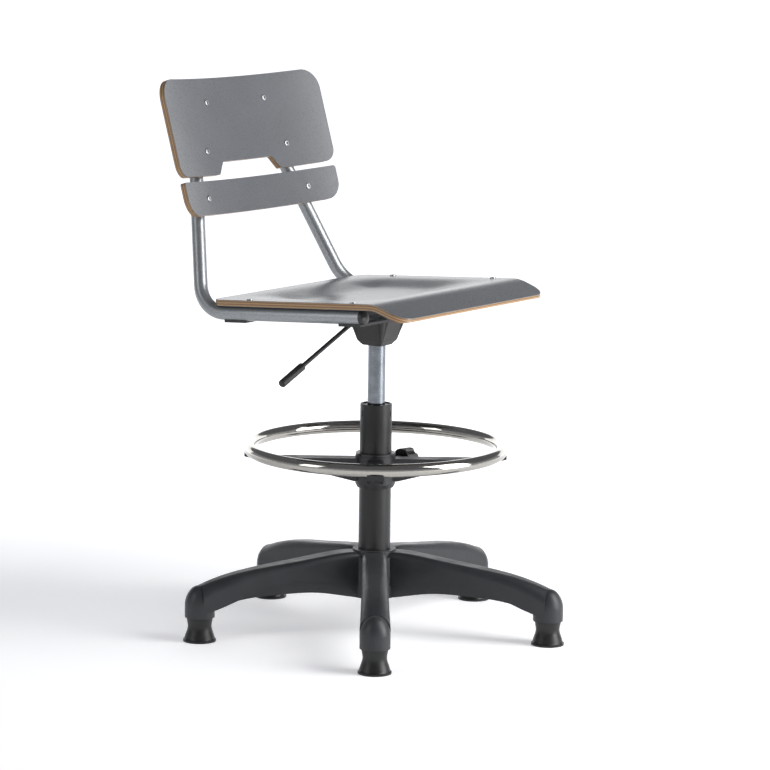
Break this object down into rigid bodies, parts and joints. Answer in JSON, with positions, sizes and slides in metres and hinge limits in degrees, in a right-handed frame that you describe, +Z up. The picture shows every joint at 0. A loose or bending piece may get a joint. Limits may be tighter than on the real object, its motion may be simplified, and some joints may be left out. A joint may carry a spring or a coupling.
{
  "type": "drafting chair",
  "caption": "Drafting chair with laminated ply seat and back on a bent tube frame, gas lift column, side lever, sliding foot ring and star base on glides.",
  "frame": {"origin": "on the floor under the column axis, at the centre of the circle of glides", "axes": "+Z up along the column, the sitter faces -Y, +X is the sitter's left"},
  "size_m": [0.5682, 0.6176, 0.8618],
  "materials": {
    "base_nylon": "moulded nylon, fine grain",
    "glide_plastic": "smooth black plastic",
    "steel": "bright machined steel",
    "column_paint": "black satin paint",
    "bush_plastic": "acetal",
    "rubber": "matt rubber",
    "piston_alloy": "machined",
    "zinc_column": "zinc plated, satin",
    "tube_paint": "silver grey powder coat",
    "black_plastic": "moulded, fine grain",
    "black_steel": "black powder coat",
    "cover_plastic": "moulded, satin",
    "screw_steel": "zinc plated",
    "laminate": "grey high-pressure laminate, satin",
    "plywood": "beech ply edge, lacquered",
    "hub_plastic": "glass-filled nylon",
    "ring_chrome": "polished chrome"
  },
  "bodies": {
    "root": {"star_base": "base_nylon", "glide_1": "glide_plastic", "glide_2": "glide_plastic", "glide_3": "glide_plastic", "glide_4": "glide_plastic", "glide_5": "glide_plastic", "glide_stems": "steel", "outer_column": "column_paint", "guide_bush": "bush_plastic", "column_end_plate": "steel", "bearing_lower_race": "steel"},
    "rod": {"bearing_balls": "steel", "bearing_cage": "bush_plastic", "bearing_upper_race": "steel", "rubber_buffer": "rubber", "piston_rod": "steel", "retaining_clip": "steel", "rod_washer": "steel", "piston": "piston_alloy", "piston_seal": "rubber"},
    "seat": {"gas_cylinder": "zinc_column", "rod_guide": "steel", "cylinder_head": "steel", "frame_tube": "tube_paint", "tube_caps": "black_plastic", "seat_bracket": "black_steel", "lever_pivot": "steel", "housing_cover": "cover_plastic", "front_cross_bar": "black_steel", "rear_cross_bar": "black_steel", "bracket_bolts": "screw_steel", "bracket_nuts": "screw_steel", "seat_screws": "screw_steel", "seat_inserts": "steel", "back_screws": "screw_steel", "back_inserts": "steel", "seat_top_laminate": "laminate", "seat_core": "plywood", "seat_bottom_laminate": "laminate", "upper_back_front_laminate": "laminate", "upper_back_core": "plywood", "upper_back_rear_laminate": "laminate", "lower_back_front_laminate": "laminate", "lower_back_core": "plywood", "lower_back_rear_laminate": "laminate"},
    "lever": {"lever_rod": "black_steel", "lever_grip": "black_plastic"},
    "valve": {"release_pin": "steel"},
    "sleeve": {"ring_sleeve": "bush_plastic"},
    "ring": {"ring_hub": "hub_plastic", "foot_ring": "ring_chrome", "ring_screws": "screw_steel"},
    "knob": {"clamp_knob": "black_plastic", "clamp_stud": "steel"}
  },
  "joints": [
    {"name": "seat_swivel", "type": "hinge", "parent": "root", "child": "rod", "pos_m": [0, 0, 0.07], "axis": [0, 0, 1], "continuous": true},
    {"name": "seat_lift", "type": "slide", "parent": "rod", "child": "seat", "axis": [0, 0, 1], "range_m": [-0.045, 0.145]},
    {"name": "lever_lift", "type": "hinge", "parent": "seat", "child": "lever", "pos_m": [-0.018, 0, 0.495], "axis": [0, 1, 0], "range_deg": [0, 6], "stiffness_Nm_per_rad": 2, "springref_deg": -17.19},
    {"name": "pin_press", "type": "slide", "parent": "seat", "child": "valve", "axis": [0, 0, -1], "range_m": [0, 0.0022]},
    {"name": "ring_height", "type": "slide", "parent": "root", "child": "sleeve", "axis": [0, 0, 1], "range_m": [-0.09, 0.06]},
    {"name": "ring_turn", "type": "hinge", "parent": "sleeve", "child": "ring", "pos_m": [0, 0, 0.26], "axis": [0, 0, 1], "continuous": true},
    {"name": "knob_turn", "type": "hinge", "parent": "ring", "child": "knob", "pos_m": [0, 0, 0.265], "axis": [0.9703, -0.2419, 0], "range_deg": [0, 540]}
  ],
  "couplings": [
    {"joint": "pin_press", "follows": "lever_lift", "m_per_rad": 0.02}
  ]
}
